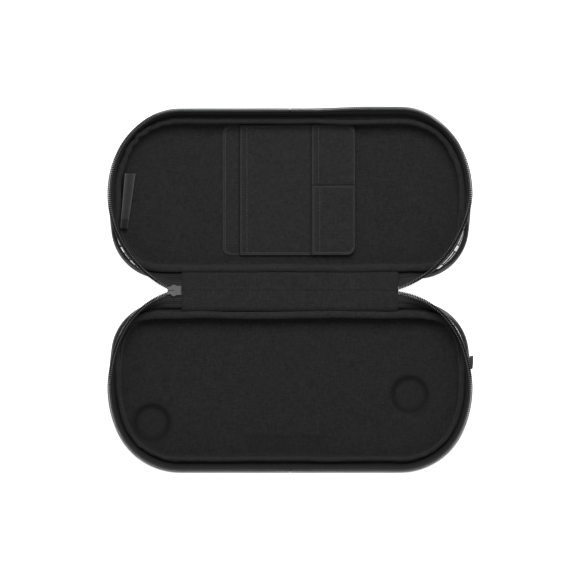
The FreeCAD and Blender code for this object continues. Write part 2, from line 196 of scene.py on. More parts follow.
# A socket that takes part in sums.
class Wire:
    def __init__(self, graph, socket):
        self.graph = graph
        self.socket = socket

    def maths(self, operation, *others):
        inputs = dict(enumerate((self, *others)))
        return self.graph.add("ShaderNodeMath", {"operation": operation}, inputs)

    def __add__(self, other):
        return self.maths("ADD", other)

    def __radd__(self, other):
        return self.maths("ADD", other)

    def __sub__(self, other):
        return self.maths("SUBTRACT", other)

    def __mul__(self, other):
        return self.maths("MULTIPLY", other)

    def __truediv__(self, other):
        return self.maths("DIVIDE", other)

    def above(self, other):
        return self.maths("GREATER_THAN", other)

    def below(self, other):
        return self.maths("LESS_THAN", other)

    def ridges(self):  # from 1 to 0 and back over each unit
        return (self.maths("FRACT") - 0.5).maths("ABSOLUTE") * 2.0


class Graph:
    def __init__(self, name):
        self.material = bpy.data.materials.new(name)
        self.material.use_nodes = True
        self.tree = self.material.node_tree
        self.shader = self.tree.nodes["Principled BSDF"]

    def feed(self, socket, value):
        if isinstance(value, Wire):
            self.tree.links.new(value.socket, socket)
        else:
            socket.default_value = value

    def add(self, kind, settings, sockets, output=0):
        node = self.tree.nodes.new(kind)
        for key, value in settings.items():
            setattr(node, key, value)
        for key, value in sockets.items():
            self.feed(node.inputs[key], value)
        return Wire(self, node.outputs[output])

    def objectPlace(self, scale=(1, 1, 1)):
        place = self.add("ShaderNodeTexCoord", {}, {}, "Object")
        return self.add("ShaderNodeMapping", {}, {"Vector": place, "Scale": scale})

    def clothPlace(self):
        return self.add("ShaderNodeUVMap", {"uv_map": "cloth"}, {})

    def parts(self, place):
        return [self.add("ShaderNodeSeparateXYZ", {}, {0: place}, axis) for axis in "XYZ"]

    def grain(self, scale, detail=2.0, stretch=(1, 1, 1), place=None):
        place = place or self.objectPlace(stretch)
        sockets = {"Vector": place, "Scale": scale, "Detail": detail}
        return self.add("ShaderNodeTexNoise", {}, sockets, "Fac")

    def marked(self, name):
        return self.add("ShaderNodeAttribute", {"attribute_name": name}, {}, 2)

    def blendColours(self, factor, first, second):
        mix = self.tree.nodes.new("ShaderNodeMix")
        mix.data_type = "RGBA"
        mix.clamp_factor = True
        self.feed(mix.inputs["Factor"], factor)
        self.feed(mix.inputs[6], first)
        self.feed(mix.inputs[7], second)
        return Wire(self, mix.outputs[2])

    def finish(self, colour, roughness=0.9, height=None, strength=0.4, distance=0.0003, **fixed):
        self.feed(self.shader.inputs["Base Color"], colour)
        self.feed(self.shader.inputs["Roughness"], roughness)
        if height is not None:
            sockets = {"Height": height, "Strength": strength, "Distance": distance}
            bump = self.add("ShaderNodeBump", {}, sockets)
            self.feed(self.shader.inputs["Normal"], bump)
        for key, value in fixed.items():
            self.shader.inputs[key.replace("_", " ")].default_value = value
        return self.material


def grey(value):
    return (value, value, value, 1.0)


# Charcoal melange: short light hairs along and across, over a finer grain. Turned hems get a
# painted highlight. A second mark paints the cloth darker: painted shade beside the edge of the
# layer above and round the stick wells, and the darker inside of the debossed panel.
def brushedKnit(name, dark, light, hem=0.0, shadeAndPress=0.0):
    graph = Graph(name)
    along = graph.grain(1500.0, stretch=(1.0, 0.16, 1.0))
    across = graph.grain(1500.0, stretch=(0.16, 1.0, 1.0))
    cloud = graph.grain(90.0, 3.0)
    fuzz = graph.grain(3200.0, 1.0)
    hairs = (along * 0.5 + across * 0.5 - 0.5) * 3.0 + 0.5
    mix = hairs * 0.62 + (cloud - 0.5) * 0.22 + fuzz * 0.38
    colour = graph.blendColours(mix, grey(dark), grey(light))
    # Painted highlight: cloth along the turned hems is lightened towards three times the light
    # tone.
    if hem:
        colour = graph.blendColours(graph.marked("hem") * hem, colour, grey(light * 3.0))
    # Painted shade at half the dark tone where the shade mark is set; the debossed panel's darker
    # inside uses it too.
    if shadeAndPress:
        colour = graph.blendColours(graph.marked("shadeAndPress") * shadeAndPress, colour, grey(dark * 0.5))
    height = along * 0.4 + across * 0.4 + fuzz * 0.5
    return graph.finish(
        colour, 0.95, height, 0.3, 0.0004,
        Sheen_Weight=0.05, Sheen_Roughness=0.5, Specular_IOR_Level=0.1,
    )


def wovenTape(name, dark, light, pitch):
    graph = Graph(name)
    x, y, _ = graph.parts(graph.clothPlace())
    twill = ((x + y) / pitch).ridges()
    fuzz = graph.grain(2500.0, place=graph.clothPlace())
    cord = (y / (1.9 * mm)).ridges()
    mix = twill * 0.25 + cord * 0.6 + fuzz * 0.2
    colour = graph.blendColours(mix, grey(dark), grey(light))
    height = twill + cord * 1.5 + fuzz * 0.5
    return graph.finish(colour, 0.85, height, 0.6, 0.0004, Specular_IOR_Level=0.15)


# The print repeats, counted from its origin, both in millimetres.
printRun = {"origin": 27, "repeat": 64.0}


# Black cloth with a plain pale pattern of blocks and rules on its outer face, measured from
# the slider; its inner face is corded.
def printedGusset(name, marks):
    graph = Graph(name)
    x, y, _ = graph.parts(graph.clothPlace())
    fuzz = graph.grain(2500.0, place=graph.clothPlace())
    turns = (x - printRun["origin"] * mm) / (printRun["repeat"] * mm)
    run = turns.maths("FRACT") * printRun["repeat"]
    mask = 0.0
    for x0, x1, y0, y1 in marks:
        bar = run.above(x0) * run.below(x1) * y.above(y0 * mm) * y.below(y1 * mm)
        mask = bar + mask
    outer = graph.marked("outerFace").above(0.5)
    cord = (y / (2.3 * mm)).ridges()
    inside = graph.blendColours(cord * 0.7 + fuzz * 0.3, grey(0.004), grey(0.022))
    cloth = graph.blendColours(outer, inside, graph.blendColours(fuzz, grey(0.004), grey(0.016)))
    colour = graph.blendColours(mask * outer, cloth, grey(0.85))
    return graph.finish(colour, 0.8, fuzz + cord, 0.4, 0.0003, Specular_IOR_Level=0.15)


# Woven outer cloth with fine ribs; a band along a tray's lip, where the gusset meets the shell, is
# painted dark as painted shade.
def ribbedShell(name, dark, light, lipShade=1.0):
    graph = Graph(name)
    x, y, z = graph.parts(graph.objectPlace())
    ridge = ((x * 0.8 + y * 0.6) / (1.1 * mm)).ridges()
    thread = graph.grain(1400.0, stretch=(1.0, 1.0, 0.3))
    cloud = graph.grain(60.0)
    mix = ridge * 0.35 + thread * 0.5 + cloud * 0.2
    cloth = graph.blendColours(mix, grey(dark), grey(light))
    # Painted shade: a dark band round the lip, under the gusset's sewn edge.
    seam = z.above(13.47 * mm) * z.below(14.0 * mm) * lipShade
    colour = graph.blendColours(seam, cloth, grey(dark * 0.15))
    height = ridge * 0.7 + thread
    return graph.finish(colour, 0.85, height, 0.5, 0.0004, Specular_IOR_Level=0.15)


# Worn paint or nylon; a groove is painted as a dark slit of shade from x0 to x1 and y0 to y1 in
# millimetres.
def enamel(name, value, metallic, gloss=0.28, groove=None):
    graph = Graph(name)
    wear = graph.grain(260.0, 3.0)
    scuff = graph.grain(1800.0, stretch=(1.0, 0.2, 1.0))
    colour = graph.blendColours(wear * 0.6 + scuff * 0.3, grey(value * 0.8), grey(value * 1.25))
    if groove:
        x, y, _ = graph.parts(graph.objectPlace())
        x0, x1, y0, y1 = [place * mm for place in groove]
        grooveShade = x.above(x0) * x.below(x1) * y.above(y0) * y.below(y1)
        colour = graph.blendColours(grooveShade, colour, grey(0.006))
    return graph.finish(
        colour, gloss + scuff * 0.25, scuff, 0.12, 0.0001,
        Metallic=metallic, Specular_IOR_Level=0.5 if metallic else 0.15,
    )


def satin(name, dark, light, sheen):
    graph = Graph(name)
    weave = graph.grain(2600.0, stretch=(1.0, 0.12, 1.0))
    cloud = graph.grain(300.0)
    colour = graph.blendColours(weave * 0.6 + cloud * 0.4, grey(dark), grey(light))
    return graph.finish(colour, 0.5, weave, 0.3, 0.0002, Sheen_Weight=sheen)


# Runs of the print in millimetres from x0 to x1 along the band and y0 to y1 up it.
prints = {
    ("lid", "left"): [
        (1.5, 6.5, 2.0, 8.2), (8.5, 13.5, 2.0, 8.2), (15, 21, 4.6, 6.0), (22, 27, 2.2, 8.0),
        (29, 34, 4.8, 7.2), (38, 58, 5.0, 6.2),
    ],
    ("lid", "right"): [
        (10, 15, 2.0, 8.2), (16, 29.5, 2.2, 3.6), (16, 29.5, 6.6, 8.0), (30.5, 35.5, 2.0, 8.2),
        (36.5, 49, 2.2, 3.6), (36.5, 49, 6.6, 8.0), (50, 54, 2.0, 8.2),
    ],
    ("base", "left"): [(7, 29, 2.0, 7.6), (30.5, 56, 2.0, 8.0)],
    ("base", "right"): [(19, 28, 2.0, 8.2), (29.5, 46, 2.6, 7.2), (48, 50, 2.6, 7.2)],
}
finishes = {
    "lining_cloth": brushedKnit("liningKnit", 0.0065, 0.0235, 0.0, 0.6),
    "binding_cloth": brushedKnit("bindingKnit", 0.008, 0.028),
    "pocket_cloth": brushedKnit("pocketKnit", 0.0072, 0.027, 0.2, 0.6),
    "zip_tape": wovenTape("zipTapeWeave", 0.003, 0.042, 0.9 * mm),
    "zip_coil": enamel("coilNylon", 0.006, 0.0, 0.55),
    "coil_thread": satin("coilThread", 0.09, 0.19, 0.0),
    "outer_cloth": ribbedShell("shellWeave", 0.05, 0.17),
    "spine_cloth": ribbedShell("spineWeave", 0.05, 0.17, 0.0),
    "label_satin": satin("labelSatin", 0.012, 0.055, 0.0),
    "label_fold": satin("labelFold", 0.01, 0.024, 0.0),
    "ribbon": satin("tabRibbon", 0.006, 0.022, 0.0),
    "slider_metal": enamel("sliderEnamel", 0.10, 0.35, groove=(-101.4, -94.6, -0.25, 0.3)),
    "puller_metal": enamel("pullerEnamel", 0.07, 0.35),
    "seam_thread": satin("seamThread", 0.03, 0.06, 0.1),
}
for (half, side), marks in prints.items():
    finishes[f"gusset_{half}_{side}"] = printedGusset(half + side.title() + "Print", marks)
print("materials made", len(finishes))


def dress(obj, slot, finish=None):
    obj.data.materials.clear()
    obj.data.materials.append(finishes[finish or slot])
    "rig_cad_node" not in obj
    return obj


filling = {
    "frames": 20, "cap": 0.5 * mm,
    "cloth": {
        "quality": 5, "mass": 0.0004, "tension_stiffness": 6, "compression_stiffness": 3,
        "bending_stiffness": 0.05, "use_pressure": True, "uniform_pressure_force": 4.0,
        "vertex_group_mass": "held",
    },
}


# The filling pushes the cloth out for a few frames; what is held stays, and nothing moves
# past the cap.
def puff(obj, held):
    start = readPoints(obj)
    group = obj.vertex_groups.new(name="held")
    group.add([int(i) for i in np.nonzero(held)[0]], 1.0, "REPLACE")
    take(obj)
    modifier = obj.modifiers.new("cloth", "CLOTH")
    for key, value in filling["cloth"].items():
        setattr(modifier.settings, key, value)
    modifier.settings.effector_weights.gravity = 0
    modifier.point_cache.frame_start = 1
    modifier.point_cache.frame_end = filling["frames"]
    for frameNumber in range(1, filling["frames"] + 1):
        bpy.context.scene.frame_set(frameNumber)
    bpy.ops.object.modifier_apply(modifier=modifier.name)
    move = readPoints(obj) - start
    length = np.linalg.norm(move, axis=1)
    print("puffed", obj.name, "most", round(float(length.max()) / mm, 2), "mm")
    share = np.minimum(length, filling["cap"]) / np.maximum(length, 1e-9)
    writePoints(obj, start + move * share[:, None])
    bpy.context.scene.frame_set(1)


# plan of the trays

plan = {
    "halfLength": 148.8 * mm, "halfDepth": 69.5 * mm, "setback": 9.5 * mm, "lipHeight": 13.5 * mm,
    "frontCorner": 56.0 * mm, "frontEnd": 88.0 * mm, "backCorner": 43.0 * mm, "backEnd": 240.0 * mm,
}
middleY = -(plan["setback"] + plan["halfDepth"])


def cornerPlace(corner, end):
    rise = plan["halfDepth"] - corner
    run = math.sqrt((end - corner) ** 2 - rise ** 2)
    return plan["halfLength"] - end + run, rise, math.atan2(rise, run)


# Right half of the base's plan, front to back: centre, radius, start and stop angle of each arc.
def planArcs(inset, stretch=0.0):
    frontCorner, frontEnd = plan["frontCorner"], plan["frontEnd"]
    backCorner, backEnd = plan["backCorner"], plan["backEnd"]
    frontX, frontRise, frontTurn = cornerPlace(frontCorner, frontEnd)
    backX, backRise, backTurn = cornerPlace(backCorner, backEnd)
    reach = plan["halfLength"] + stretch
    quarter = math.pi / 2
    return [
        (frontX + stretch, middleY - frontRise, frontCorner - inset, -quarter, -frontTurn),
        (reach - frontEnd, middleY, frontEnd - inset, -frontTurn, 0.0),
        (reach - backEnd, middleY, backEnd - inset, 0.0, backTurn),
        (backX + stretch, middleY + backRise, backCorner - inset, backTurn, quarter),
    ]


def arcPoints(arc, count):
    x, y, radius, start, stop = arc
    turns = np.linspace(start, stop, count + 1)
    return np.column_stack([x + radius * np.cos(turns), y + radius * np.sin(turns)])


# How far points lie inside a half's outline, and the way out from there; base terms.
def insetOf(points, stretch=0.0):
    x, y = np.abs(points[:, 0]), points[:, 1]
    arcs = planArcs(0.0, stretch)
    inset = np.where(y < middleY, y - middleY, middleY - y) + plan["halfDepth"]
    out = np.column_stack([0 * x, np.sign(y - middleY)])
    for cx, cy, radius, start, stop in arcs:
        dx, dy = x - cx, y - cy
        turn = np.arctan2(dy, dx)
        here = (turn >= start - 1e-9) & (turn <= stop + 1e-9) & (x > arcs[0][0] * 0.5)
        reach = np.hypot(dx, dy)
        inset = np.where(here, radius - reach, inset)
        way = np.column_stack([dx, dy]) / np.maximum(reach, 1e-9)[:, None]
        out = np.where(here[:, None], way, out)
    out[:, 0] *= np.sign(points[:, 0])
    return inset, out


# The same line with count + 1 points, evenly spaced.
def evenly(points, count):
    line = np.array(points, float)
    steps = np.linalg.norm(np.diff(line, axis=0), axis=1)
    lengths = np.concatenate([[0], np.cumsum(steps)])
    marks = np.linspace(0, lengths[-1], count + 1)
    columns = [np.interp(marks, lengths, line[:, k]) for k in range(line.shape[1])]
    return np.stack(columns, axis=1)


# soft rim: gusset, tape and coil

rim = {
    "sewn": 4.2 * mm, "foot": 5.7 * mm, "tighten": 2.2, "coilInset": 0.2 * mm,
    "width": 13.9 * mm, "seat": 0.35 * mm, "mouthHeight": 15.0 * mm, "slope": 0.66,
    "gusset": 10.0 * mm, "gussetThickness": 0.8 * mm,
    "tapeLow": 5.6 * mm, "tapeOver": 0.5 * mm, "tapeThickness": 0.6 * mm, "tapeIn": 0.75 * mm,
    "toothPitch": 1.62 * mm, "toothLength": 2.7 * mm, "toothThickness": 2.0 * mm,
    "toothWidth": 0.95 * mm, "toothRound": 0.34 * mm, "toothLean": 0.12,
    "stitch": (0.78 * mm, 0.6 * mm, 0.5 * mm), "stitchRound": 0.14 * mm,
    "stitchPlaces": ((-1.05, -1.05), (-0.85, 1.05), (0.75, -1.0)),
    "bulge": {"gusset": 0.5 * mm, "zip_tape": 0.35 * mm, "zip_coil": 0.2 * mm},
    "lyingReach": 12 * mm, "lyingRise": 0.9 * mm,
    "tuck": 84.0 * mm, "runIn": 4 * mm, "underSpine": 95 * mm, "inner": 0.6 * mm,
    "mouth": {"left": (99.8, 1.0), "right": (89.5, 0.7)},
    "straight": 60, "corner": 44, "end": 34, "back": 120, "sweep": 90,
    "cell": 2.2 * mm, "rows": 6,
}
# How the coil leaves the round end and comes to the hinge at each corner.
coilRuns = {
    ("lid", "left"): {"pull": 45.6, "lead": 6.4, "angle": 17.2},
    ("base", "left"): {"pull": 10.7, "lead": 46.6, "angle": 20.8},
    ("lid", "right"): {"pull": 18.3, "lead": 41.5, "angle": 20.3},
    ("base", "right"): {"pull": 6.8, "lead": 55.2, "angle": 10.2},
}
# The lid's front edge reaches out a little on the right and is drawn in at both corners.
lidFront = {
    "reach": 1.6 * mm, "reachStart": 15 * mm, "reachRise": 50 * mm,
    "reachStop": 140 * mm, "reachFall": 40 * mm,
    "corner": (129 * mm, -51 * mm), "cornerSize": 26 * mm, "drawWay": (-0.78, 0.62),
    "draw": {"left": 1.6 * mm, "right": 0.8 * mm},
}


# Plan points of the coil's edge from the round end to under the spine, in base terms.
def coilSweep(half, side):
    run = coilRuns[half, side]
    mouth = np.array(rim["mouth"][side]) * (mm, -mm)
    heading = math.radians(run["angle"])
    edge = plan["halfLength"] - rim["coilInset"]
    corners = np.array([
        [edge, middleY], [edge, middleY + run["pull"] * mm],
        mouth + run["lead"] * mm * np.array([math.cos(heading), -math.sin(heading)]), mouth,
    ])
    t = np.linspace(0, 1, rim["sweep"])[:, None]
    curve = (1 - t) ** 3 * corners[0] + 3 * (1 - t) ** 2 * t * corners[1]
    curve = curve + 3 * (1 - t) * t * t * corners[2] + t ** 3 * corners[3]
    first = min(mouth[0] - rim["runIn"], rim["underSpine"])
    return np.vstack([curve, [[first, -rim["inner"]], [rim["tuck"], -rim["inner"]]]])


def frontLine(inset):
    arcs = planArcs(inset)
    level = arcs[0][1] - arcs[0][2]
    count = rim["straight"] + 1
    straight = np.column_stack([np.linspace(0, arcs[0][0], count), np.full(count, level)])
    corner = arcPoints(arcs[0], rim["corner"])[1:]
    return np.vstack([straight, corner, arcPoints(arcs[1], rim["end"])[1:]])


def backLine(inset):
    arcs = planArcs(inset)
    line = np.vstack([arcPoints(arcs[2], 40), arcPoints(arcs[3], 60)[1:]])
    return evenly(np.vstack([line, [[rim["tuck"], line[-1, 1]]]]), rim["back"])


# Sewn edge and coil line of half a rim, from front middle to under the spine, base terms.
def rimLines(half, side):
    tight = ease(np.arange(rim["back"] + 1) / rim["back"] * rim["tighten"])[:, None]
    backLow = backLine(rim["foot"]) * (1 - tight) + backLine(rim["sewn"]) * tight
    backHigh = evenly(coilSweep(half, side), rim["back"])
    front = frontLine(rim["foot"])
    lowLine = np.vstack([front, backLow[1:]])
    highLine = np.vstack([frontLine(rim["coilInset"]), backHigh[1:]])
    mouth = np.array(rim["mouth"][side]) * (mm, -mm)
    fromMouth = np.linalg.norm(highLine - mouth, axis=1)
    fromMouth[len(front):] *= highLine[len(front):, 0] > mouth[0]
    apart = np.linalg.norm(highLine - lowLine, axis=1)
    seat = plan["lipHeight"] + rim["seat"]
    upright = seat + np.sqrt(np.maximum(rim["width"] ** 2 - apart ** 2, 1e-8))
    heights = np.minimum(upright, rim["mouthHeight"] + rim["slope"] * fromMouth)
    lying = ease((rim["lyingReach"] - fromMouth) / rim["lyingReach"])
    lows = np.column_stack([lowLine, seat + rim["lyingRise"] * lying])
    highs = np.column_stack([highLine, heights])
    f = lidFront
    if half == "lid" and side == "right":
        x = highs[:, 0]
        rising = ease((x - f["reachStart"]) / f["reachRise"])
        reach = rising * ease((f["reachStop"] - x) / f["reachFall"])
        highs[:, 1] -= reach * (highs[:, 1] < middleY) * f["reach"]
    if half == "lid":
        corner = [f["corner"][0], middleY + f["corner"][1]]
        away = np.linalg.norm(highs[:, :2] - corner, axis=1)
        pull = np.exp(-(away / f["cornerSize"]) ** 2) * f["draw"][side]
        highs[:, :2] += pull[:, None] * np.array(f["drawWay"])
    return lows, highs, len(front) - 1


# Maps flat strip coordinates, along, up and out, on to a rim.
class Band:
    def __init__(self, low, high):
        self.low, self.high = low, high
        steps = np.linalg.norm(np.diff(high, axis=0), axis=1)
        self.along = np.concatenate([[0], np.cumsum(steps)])
        way = np.gradient((low + high) / 2, axis=0)
        out = np.cross(way, high - low)
        self.out = out / np.linalg.norm(out, axis=1)[:, None]

    def length(self):
        return self.along[-1]

    def at(self, table, marks):
        return np.stack([np.interp(marks, self.along, table[:, k]) for k in range(3)], axis=1)

    def lay(self, obj, bulge):
        points = readPoints(obj)
        marks = np.clip(points[:, 0], 0, self.length())
        low, high, out = [self.at(table, marks) for table in (self.low, self.high, self.out)]
        share = points[:, 1:2] / rim["width"]
        belly = bulge * np.sin(np.clip(share, 0, 1) * math.pi)
        writePoints(obj, low + (high - low) * share + out * (points[:, 2:3] + belly))


# A flat band: x along, y up, z out; its cloth map runs from the slider.
def flatStrip(name, start, stop, low, high, thickness, slider, out=0.0):
    cells = (max(2, int((stop - start) / rim["cell"])), rim["rows"])
    middle = ((start + stop) / 2, (low + high) / 2, out)
    obj = flatGrid(name, cells, middle, (stop - start, high - low))
    layer = obj.data.uv_layers[0]
    layer.name = "cloth"
    for loop in obj.data.loops:
        point = obj.data.vertices[loop.vertex_index].co
        layer.data[loop.index].uv = (slider - point.x, point.y)
    modify(obj, "SOLIDIFY", thickness=thickness, offset=0.0, use_even_offset=True)
    markPoints(obj, "outerFace", readPoints(obj)[:, 2] > out)
    return obj


# One coil turn, rounded, repeated along the edge, with the stitches that hold it.
def toothRow(name, start, stop, place):
    count = round((stop - start) / rim["toothPitch"])
    pitch = (stop - start) / count
    size = (rim["toothWidth"], rim["toothLength"], rim["toothThickness"])
    tooth = roundedBlock(name, (0, place, 0), size, rim["toothRound"], 2)
    tooth.data.materials.append(finishes["zip_coil"])
    points = readPoints(tooth)
    points[:, 0] += start + pitch / 2 + (points[:, 1] - place) * rim["toothLean"]
    writePoints(tooth, points)
    pieces = [tooth]
    for up, out in rim["stitchPlaces"]:
        spot = (start + pitch, place + up * mm, out * mm)
        stitch = roundedBlock(name + "Stitch", spot, rim["stitch"], rim["stitchRound"], 1)
        stitch.data.materials.append(finishes["coil_thread"])
        pieces.append(stitch)
    row = joined(name, pieces)
    return repeat(row, count, pitch)


# From base terms on the right to the half and side that it belongs to.
def toHalf(obj, half, side):
    signs = (-1 if side == "left" else 1, -1 if half == "lid" else 1, 1)
    writePoints(obj, readPoints(obj) * signs)
    if signs[0] * signs[1] < 0:
        editAll(obj)
        bpy.ops.mesh.flip_normals()
        leaveEdit()


# Bakes the corner's place into its mesh; the corner is not attached to a half.
def foldWith(obj):
    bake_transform(obj)


def makeRims():
    top = rim["width"] - rim["toothLength"] + rim["tapeOver"]
    for half in ("base", "lid"):
        for side in ("left", "right"):
            low, high, join = rimLines(half, side)
            band = Band(low, high)
            turn = band.along[join]
            mouthX = rim["mouth"][side][0] * mm
            slider = np.interp(-mouthX, -high[join:, 0], band.along[join:])
            name = half + side.title()
            stretches = {"Rim": (0.0, turn), "Corner": (turn, band.length())}
            for part, (start, stop) in stretches.items():
                gusset = flatStrip(name + "Gusset" + part, start, stop, 0.0, rim["gusset"],
                                   rim["gussetThickness"], slider)
                tape = flatStrip(name + "Tape" + part, start, stop, rim["tapeLow"], top,
                                 rim["tapeThickness"], slider, -rim["tapeIn"])
                coil = toothRow(name + "Coil" + part, start, stop,
                                rim["width"] - rim["toothLength"] / 2)
                dress(gusset, "gusset_cloth", f"gusset_{half}_{side}")
                dress(tape, "zip_tape")
                for obj, kind in ((gusset, "gusset"), (tape, "zip_tape"), (coil, "zip_coil")):
                    band.lay(obj, rim["bulge"][kind])
                    toHalf(obj, half, side)
                    smooth(obj)
                    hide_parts(f"{half}_{kind}")
                    if part == "Corner":
                        foldWith(obj)
                        tail = "coil_tail" if kind == "zip_coil" else "tape_tail"
                        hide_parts(f"{half}_{tail}_{side}")
                    else:
                        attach(obj, half)
            print("rim", half, side, round(band.length() / mm), "mm")


makeRims()


# bound seam round each mouth

bead = {
    "inset": 9.9 * mm, "stretch": 2.0 * mm, "size": 5.0 * mm, "sides": 14, "step": 2.0 * mm,
    "lift": 15.75 * mm, "frontWidth": 0.8, "backWidth": 1.22, "widening": 55 * mm,
    "tuck": 4.2 * mm, "sink": 2.2 * mm, "tuckX": (112 * mm, 22 * mm), "tuckY": (-72 * mm, 24 * mm),
    "rear": {"lid": 1.0 * mm, "base": -0.8 * mm}, "rearY": (-40 * mm, 20 * mm),
    "sway": 0.5 * mm, "swayLong": 34 * mm, "swayShort": 11 * mm,
    "swell": 0.4 * mm, "swellLong": 22 * mm, "fold": 4.2 * mm,
    "grain": 0.12 * mm, "grainSize": 3.2 * mm,
    "below": 0.2 * mm, "held": 1.2 * mm, "seeds": {"base": 3, "lid": 8},
}
# Where the bead is gathered: x, y, reach and depth of folds, in millimetres and base terms.
gathers = {
    "base": [
        (-116, -133, 24, 1.5), (120, -132, 20, 0.8), (-122, -28, 16, 0.9), (118, -24, 20, 0.6),
    ],
    "lid": [
        (-121, -128, 30, 1.4), (122, -124, 24, 1.0), (-120, -26, 18, 0.8), (120, -28, 22, 0.7),
    ],
}


# A round section run along the plan: extruded on the straights, spun round the arcs.
def sweepRing(name):
    arcs = planArcs(bead["inset"], bead["stretch"])
    deselect()
    bpy.ops.mesh.primitive_circle_add(
        vertices=bead["sides"], radius=0.5, location=(0, arcs[0][1] - arcs[0][2], bead["lift"]),
        rotation=(0, math.pi / 2, 0),
    )
    ring = added(name)
    ring.scale = (bead["size"], bead["size"], 1)
    settle(ring)
    editAll(ring)

    def straight(length):
        count = max(1, int(abs(length) / bead["step"]))
        step = {"value": (length / count, 0, 0)}
        for _ in range(count):
            bpy.ops.mesh.extrude_region_move(TRANSFORM_OT_translate=step)

    def turn(arc, mirrored):
        x, y, radius, start, stop = arc
        count = max(2, int(radius * abs(stop - start) / bead["step"]))
        centre = (-x if mirrored else x, y, 0)
        bpy.ops.mesh.spin(steps=count, angle=start - stop, center=centre, axis=(0, 0, 1))

    straight(arcs[0][0])
    for arc in arcs:
        turn(arc, False)
    straight(-2 * arcs[3][0])
    for arc in reversed(arcs):
        turn(arc, True)
    straight(arcs[0][0])
    bpy.ops.mesh.select_all(action="SELECT")
    bpy.ops.mesh.remove_doubles(threshold=0.05 * mm)
    bpy.ops.mesh.normals_make_consistent(inside=False)
    leaveEdit()
    return ring


def rising(values, span):
    start, run = span
    return ease((values - start) / run)


def makeBead(half):
    obj = sweepRing(half + "BoundSeam")
    seed = bead["seeds"][half]
    points = readPoints(obj)
    inset, out = insetOf(points, bead["stretch"])
    outward = np.column_stack([out, 0 * inset])
    share = ease((points[:, 1] - middleY) / bead["widening"] * 0.5 + 0.5)
    width = bead["frontWidth"] + (bead["backWidth"] - bead["frontWidth"]) * share
    points += outward * ((bead["inset"] - inset) * (width - 1))[:, None]
    corner = rising(np.abs(points[:, 0]), bead["tuckX"]) * rising(points[:, 1], bead["tuckY"])
    rear = rising(points[:, 1], bead["rearY"]) * (1 - corner)
    points += outward * (corner * bead["tuck"] + rear * bead["rear"][half])[:, None]
    points[:, 2] -= corner * bead["sink"]
    flat = points * [1, 1, 0]
    sway = waves(flat, bead["swayLong"], seed) * bead["sway"] * 2
    sway = sway + waves(flat, bead["swayShort"], seed + 1) * bead["sway"] * 0.7
    lift = waves(flat, bead["swellLong"], seed + 2) * bead["swell"] * 1.6
    gathered = waves(flat, bead["fold"], seed + 3)
    folds = np.zeros(len(points))
    for x, y, reach, depth in gathers[half]:
        away = (flat[:, 0] - x * mm) ** 2 + (flat[:, 1] - y * mm) ** 2
        folds += np.exp(-away / (reach * mm) ** 2) * depth * gathered * mm * 1.5
    points = points + outward * (sway + folds)[:, None]
    points[:, 2] += lift + folds * 0.4
    points[:, 2] += waves(points, bead["grainSize"], seed + 5) * bead["grain"]
    points[:, 2] = np.maximum(points[:, 2], plan["lipHeight"] - bead["below"])
    writePoints(obj, points)
    puff(obj, points[:, 2] < plan["lipHeight"] + bead["held"])
    modify(obj, "SUBSURF", levels=1, render_levels=1)
    toHalf(obj, half, "right")
    dress(smooth(obj, 80), "binding_cloth")
    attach(obj, half)
    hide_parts(half + "_seam_binding")
    print("bead", half)


for half in ("base", "lid"):
    makeBead(half)


# padded linings

floor = {
    "height": 6.4 * mm, "above": 0.8 * mm, "below": 2.2 * mm, "voxel": 1.5 * mm, "quickVoxel": 2.4,
    "wells": [(-113.7, -29.8), (98.6, -6.6)],
    "wellRadius": 12.3 * mm, "wellSlope": 4.2 * mm, "wellDepth": 2.3 * mm,
    "wellShadeRing": 1.5 * mm, "wellShadeWidth": 2.6 * mm,
    "panel": (-35.0, 32.4, -134.6, -119.2), "panelDepth": 0.7 * mm, "panelEdge": 0.9 * mm,
    "panelMark": 0.18,
}


def makeLining(half):
    source = nodes["lid_lining"]
    obj = source.copy()
    obj.data = source.data.copy()
    obj.parent = None
    bpy.context.scene.collection.objects.link(obj)
    for key in list(obj.keys()):
        del obj[key]
    obj.name = half + "PaddedLining"
    obj.hide_render = False
    obj.hide_viewport = False
    if half == "base":
        toHalf(obj, "lid", "right")
    editAll(obj)
    bpy.ops.mesh.remove_doubles(threshold=0.01 * mm)
    leaveEdit()
    voxel = 1.0 * floor["voxel"]
    modify(obj, "REMESH", mode="VOXEL", voxel_size=voxel, use_smooth_shade=True)
    points = readPoints(obj)
    flat = points * [1, 1, 0]
    over = points[:, 2] > floor["height"] - floor["below"]
    top = over & (points[:, 2] < floor["height"] + floor["above"])
    drop, shadeAndPress = np.zeros(len(points)), np.zeros(len(points))
    if half == "base":
        for x, y in floor["wells"]:
            away = np.hypot(flat[:, 0] - x * mm, flat[:, 1] - middleY - y * mm)
            away = away - floor["wellRadius"]
            drop += floor["wellDepth"] * (1 - ease(away / floor["wellSlope"]))
            # Painted shade: a dark ring on each well's sloping side.
            shadeAndPress += np.exp(-((away - floor["wellShadeRing"]) / floor["wellShadeWidth"]) ** 2)
        x0, x1, y0, y1 = [value * mm for value in floor["panel"]]
        edge = np.minimum.reduce([
            flat[:, 0] - x0, x1 - flat[:, 0], flat[:, 1] - y0, y1 - flat[:, 1],
        ])
        inside = ease(edge / floor["panelEdge"])
        drop += floor["panelDepth"] * inside
        # The debossed panel is painted darker inside.
        shadeAndPress += floor["panelMark"] * inside
        points[:, 2] = np.where(top, floor["height"] - drop, points[:, 2])
    soft = waves(flat, 38 * mm, 5) * 0.35 * mm + waves(flat, 12 * mm, 6) * 0.12 * mm
    points[:, 2] += np.where(top, soft, 0)
    writePoints(obj, points)
    modify(obj, "SMOOTH", factor=0.5, iterations=1)
    markPoints(obj, "shadeAndPress", shadeAndPress)
    dress(obj, "lining_cloth")
    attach(obj, half)
    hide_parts(half + "_lining")
    print("lining", half, len(obj.data.vertices))


